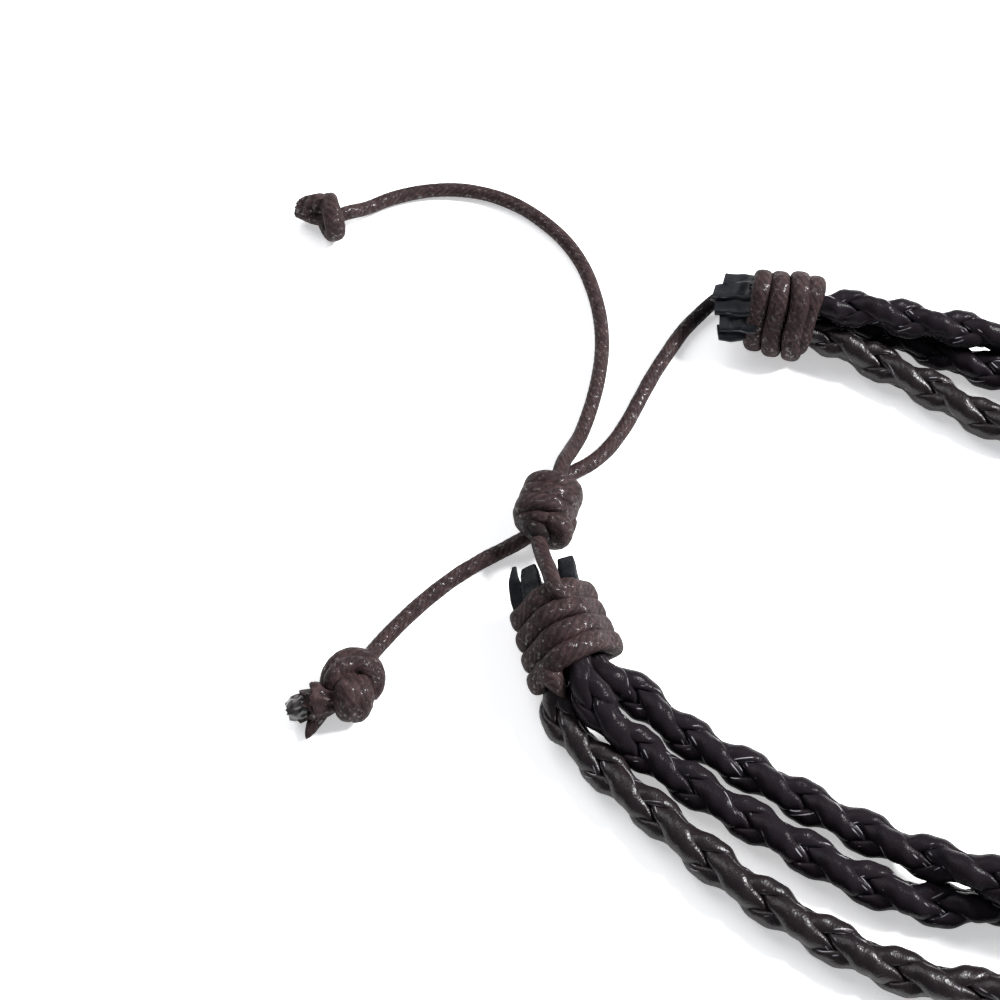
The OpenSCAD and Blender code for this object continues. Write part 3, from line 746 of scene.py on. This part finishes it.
# the strips' cut ends that show behind the whippings
cutEnds = {
    "near_cut_end_1": (nearWhip, 0.1, [
        (-2.6, -2.7, 3.4, 1.9, 0.6, -20), (-4.7, -2.8, 3.7, 1.7, 0.5, -30),
        (-6.2, -2.8, 4.0, 1.2, 0.45, -35), (-7.5, -2.4, 4.2, 0.4, 0.3, -30)]),
    "near_cut_end_2": (nearWhip, 0.12, [
        (-2.6, -1.7, 4.3, 2.2, 1.0, -10), (-4.6, -1.5, 4.4, 2.1, 1.0, -20),
        (-6.2, -1.3, 4.5, 1.8, 0.9, -25), (-6.9, -1.2, 4.5, 1.3, 0.7, -25)]),
    "near_cut_end_3": (nearWhip, 0.0, [
        (-2.6, 1.6, 4.2, 2.0, 0.9, -20), (-4.4, 1.8, 4.5, 2.0, 0.9, -30),
        (-5.9, 2.1, 4.8, 1.9, 0.8, -25), (-6.7, 2.2, 4.9, 1.5, 0.6, -20)]),
    "far_cut_end_1": (farWhip, 0.15, [
        (-2.6, 1.3, 5.4, 2.6, 1.3, 10), (-4.6, 2.0, 4.9, 2.6, 1.2, 12), (-6.3, 2.4, 4.7, 2.0, 0.8, 15)]),
    "far_cut_end_2": (farWhip, -0.1, [
        (-2.6, 0.2, 6.0, 2.8, 1.4, 8), (-5.0, 0.5, 5.2, 2.8, 1.3, 12), (-7.1, 0.4, 4.8, 2.2, 1.0, 16)]),
    "far_cut_end_3": (farWhip, 0.05, [
        (-2.6, -1.1, 5.9, 2.8, 1.4, -6), (-5.0, -1.1, 5.1, 2.8, 1.3, 4), (-6.8, -1.1, 4.7, 2.5, 1.0, 10)]),
    "far_cut_end_4": (farWhip, -0.05, [
        (-2.6, -2.3, 4.9, 2.6, 1.3, -25), (-4.7, -2.4, 4.5, 2.6, 1.2, -15),
        (-6.2, -2.6, 4.3, 2.3, 0.9, -10)]),
    "far_cut_end_5": (farWhip, 0.1, [
        (-3.6, -3.1, 3.9, 1.8, 1.1, -35), (-4.9, -3.3, 3.8, 1.9, 1.0, -30),
        (-6.2, -3.5, 3.7, 1.6, 0.8, -20)]),
}
for number, (name, (spot, aslant, rows)) in enumerate(cutEnds.items()):
    cutEnd(name, spot, aslant, rows, 40 + 3 * number)

# the sliding knot: a barrel of turns round both cords, with a ball and folds at its lower end
slideKnot = dict(slide, z=(slide["low"] + slide["high"]) / 2)
slideRadius = (2.05, 1.74)
barrel = [(along, left, z + math.copysign((slide["high"] - slide["low"]) / 2, z))
          for along, left, z in turnRows(slideRadius, start=265, end=-800, alongFrom=1.6, alongTo=-2.0)]
slideCoil = knotCoil("sliding_knot_cord", slideKnot, barrel, 23, 1.9, 1.5, "sliding_knot")
slideTurns = [
    looseTurn("sliding_knot_ball", slide, [
        (-1.8, -0.3, 3.8, 1.8), (-2.3, -1.0, 4.7, 2.2), (-2.7, -1.7, 4.9, 2.45), (-3.0, -2.1, 4.4, 2.45),
        (-3.3, -2.1, 3.6, 2.2), (-3.4, -1.6, 2.8, 1.8), (-3.2, -1.0, 2.0, 1.4)], seed=33),
    looseTurn("sliding_knot_fold", slide, [
        (-0.6, -2.3, 3.0, 1.5), (-1.5, -2.4, 3.0, 1.6), (-2.4, -2.3, 2.8, 1.5),
        (-3.0, -1.9, 2.4, 1.4)], seed=39),
    looseTurn("sliding_knot_left_turn", slide, [
        (-0.8, 1.9, 3.2, 1.7), (-1.4, 2.1, 2.7, 1.9), (-2.1, 1.7, 2.7, 1.9), (-2.5, 0.9, 2.9, 1.7),
        (-2.6, 0.0, 3.0, 1.6)], seed=43),
    looseTurn("sliding_knot_last_turn", slide, [
        (-2.2, 2.0, 2.6, 1.5), (-2.5, 1.4, 4.0, 1.6), (-2.6, 0.5, 4.8, 1.7), (-2.6, -0.4, 5.0, 1.7),
        (-2.4, -1.2, 4.6, 1.6)], seed=51),
    # painted shade: this turn lies in the hollow of the knot and is painted dark all over
    looseTurn("sliding_knot_inner_turn", slide, [
        (-2.5, 1.7, 2.8, 1.5), (-3.1, 1.1, 3.8, 1.7), (-3.7, 0.4, 4.4, 1.9), (-3.9, -0.4, 4.5, 2.0),
        (-3.6, -1.2, 4.0, 1.8)], seed=49, darkened=True),
]

nearKnot = dict(at=(-71.6, 23.4), heading=220.0, z=2.35)
nearEnd = knotCoil("near_end_knot_cord", nearKnot,
                   turnRows((1.95, 1.45), start=160, end=-250, alongFrom=0.0, alongTo=0.9),
                   24, 2.1, 1.7, "near_end_knot")
nearFray = frayedEnd("near_end_frayed", nearKnot, [
    (0.2, -0.9, 3.3, 2.0), (1.0, -1.6, 2.9, 2.5), (1.9, -2.2, 2.3, 2.6), (2.6, -2.6, 2.0, 2.3),
    (3.1, -2.9, 1.8, 1.4)], seed=34, lumps=0.1, ragged=0.25, material=cottonLook)

# the far end knot: an arch over inner turns, then the frayed end with its scorched tip
farKnot = dict(at=(-49.5, -25.9), heading=245.0, z=2.35)
farEnd = looseTurn("far_end_knot_arch", farKnot, [
    (1.0, -0.5, 1.5, 1.8), (0.5, -1.2, 2.2, 1.95), (-0.4, -1.7, 2.5, 2.0), (-1.5, -1.8, 2.6, 2.0),
    (-2.4, -1.4, 2.6, 2.0), (-3.0, -0.3, 2.6, 1.95), (-2.8, 1.0, 2.5, 1.9), (-1.9, 1.9, 2.4, 1.8),
    (-1.0, 1.9, 1.7, 1.7)], seed=25)
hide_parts("far_end_knot")
farKnotPieces = [
    looseTurn("far_end_knot_inner_turn", farKnot, [
        (0.9, -0.3, 2.6, 1.8), (0.3, -0.8, 3.2, 1.9), (-0.7, -0.9, 3.4, 1.9), (-1.6, -0.6, 3.4, 1.8),
        (-2.3, 0.1, 3.4, 1.6), (-2.4, 0.9, 3.0, 1.5), (-2.0, 1.6, 2.4, 1.4)], seed=28),
    looseTurn("far_end_knot_turn_1", farKnot, [
        (-1.5, 0.7, 2.4, 1.6), (-1.1, 1.2, 2.9, 2.0), (-0.5, 1.8, 2.9, 2.4), (0.1, 2.2, 2.3, 2.4),
        (0.6, 2.3, 1.6, 2.0), (0.7, 1.4, 1.0, 1.6)], seed=26),
    looseTurn("far_end_knot_turn_2", farKnot, [
        (-0.8, -0.1, 2.5, 1.9), (-0.3, 0.4, 3.1, 2.4), (0.2, 1.0, 3.3, 2.8), (0.7, 1.5, 2.8, 2.8),
        (1.1, 1.7, 2.0, 2.4), (1.1, 1.1, 1.2, 1.7)], seed=27),
    frayedEnd("far_end_frayed_collar", farKnot, [
        (1.0, 0.3, 2.2, 2.2), (1.9, -0.3, 2.1, 2.9), (2.5, -0.8, 2.1, 3.5), (2.8, -1.0, 2.1, 3.5)],
        seed=35, lumps=0.12, ragged=0.4, material=cottonLook),
    frayedEnd("far_end_frayed_core", farKnot, [
        (1.4, 0.0, 2.0, 2.2), (2.6, -0.7, 1.9, 2.7), (3.4, -1.1, 1.8, 2.9)],
        seed=36, lumps=0.12, ragged=0.4, material=cottonLook),
    frayedEnd("far_end_scorched_tip", farKnot, [
        (2.4, -0.8, 1.9, 1.8), (3.5, -1.3, 1.8, 2.2), (4.3, -1.7, 1.7, 2.3), (4.9, -2.0, 1.6, 1.4)],
        seed=37, lumps=0.12, ragged=0.2, material=scorchedLook),
    looseTurn("far_end_loose_fibre", farKnot, [
        (2.4, -0.2, 1.3, 1.6), (3.4, 0.0, 1.0, 1.5), (4.5, 0.4, 0.8, 1.0), (5.3, 0.7, 0.6, 0.3)], seed=38),
]
print("whippings and knots are tied")

[tuple(p) for p in (nearCurve[::6] + lay) * mm]
[tuple(p) for p in (farCurve[::6] + lay) * mm]
